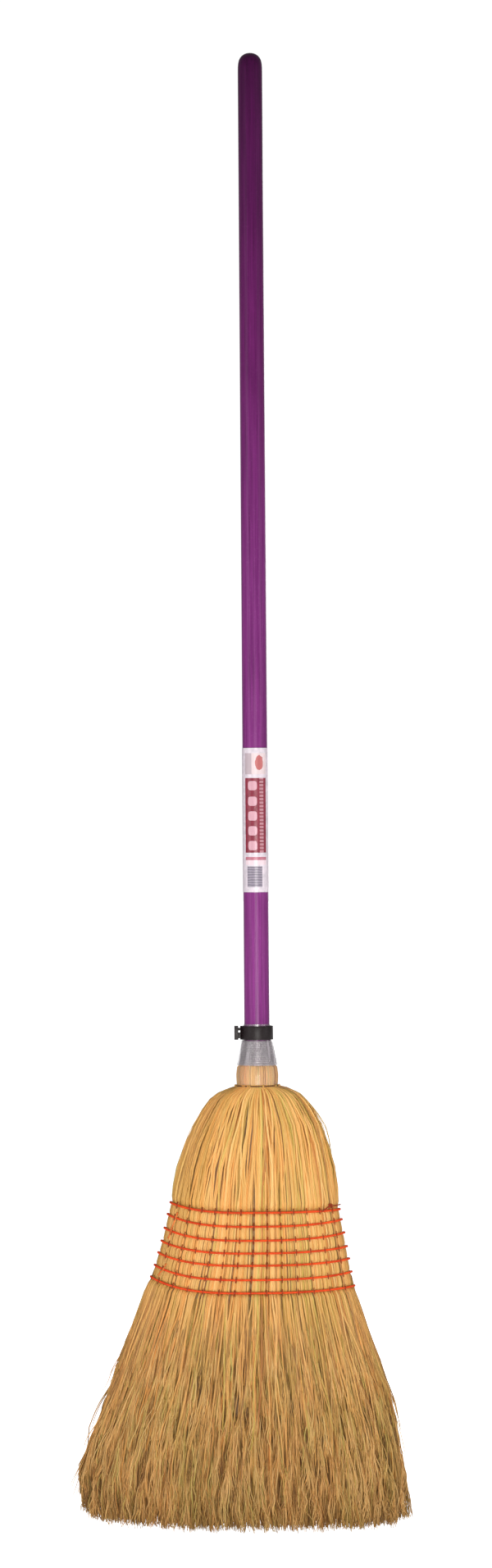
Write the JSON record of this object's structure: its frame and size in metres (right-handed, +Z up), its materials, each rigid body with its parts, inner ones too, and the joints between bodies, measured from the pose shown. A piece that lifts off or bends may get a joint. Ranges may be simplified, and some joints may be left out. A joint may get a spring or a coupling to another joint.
{
  "type": "corn broom",
  "caption": "Straw broom with a long painted wood handle, a wire-wound neck under a clear clamped sleeve, and a flat fanned head sewn with rows of orange twine.",
  "frame": {"origin": "on the handle's axis, in the plane of the cut straw ends that the broom stands on", "axes": "+Z up the handle, X across the width of the head, Y through its thickness with the label's front towards -Y"},
  "size_m": [0.3177, 0.068, 1.405],
  "materials": {
    "handle_paint": "gloss",
    "label_paper": "satin",
    "clip_nylon": "matte",
    "clear_vinyl": "gloss",
    "galvanised_wire": "satin",
    "tie_twine": "matte",
    "straw": "matte",
    "inner_straw": "matte",
    "orange_twine": "matte"
  },
  "bodies": {
    "broom": {"handle": "handle_paint", "label": "label_paper", "hose_clip": "clip_nylon", "neck_sleeve": "clear_vinyl", "winding_wire": "galvanised_wire", "wire_nail": "galvanised_wire", "neck_tie": "tie_twine", "straw_cover_front": "straw", "straw_cover_back": "straw", "straw_core": "inner_straw", "straw_left": "inner_straw", "straw_right": "inner_straw", "binding_twine_1": "orange_twine", "binding_twine_2": "orange_twine", "binding_twine_3": "orange_twine", "binding_twine_4": "orange_twine", "binding_twine_5": "orange_twine", "binding_twine_6": "orange_twine", "binding_twine_7": "orange_twine", "sewing_twine_1": "orange_twine", "sewing_twine_2": "orange_twine", "sewing_twine_3": "orange_twine", "sewing_twine_4": "orange_twine", "sewing_twine_5": "orange_twine", "sewing_twine_6": "orange_twine", "sewing_twine_7": "orange_twine", "link_twine_upper": "orange_twine", "link_twine_lower": "orange_twine", "twine_knot": "orange_twine"},
    "skirt": {"skirt_cover_front": "straw", "skirt_cover_back": "straw", "skirt_core": "inner_straw", "skirt_left": "inner_straw", "skirt_right": "inner_straw"}
  },
  "joints": [
    {"name": "skirt_flex", "type": "hinge", "parent": "broom", "child": "skirt", "pos_m": [0, 0, 0.2187], "axis": [1, 0, 0], "range_deg": [-25, 25], "stiffness_Nm_per_rad": 6, "deforming": ["skirt_cover_front", "skirt_cover_back", "skirt_core", "skirt_left", "skirt_right"]}
  ]
}
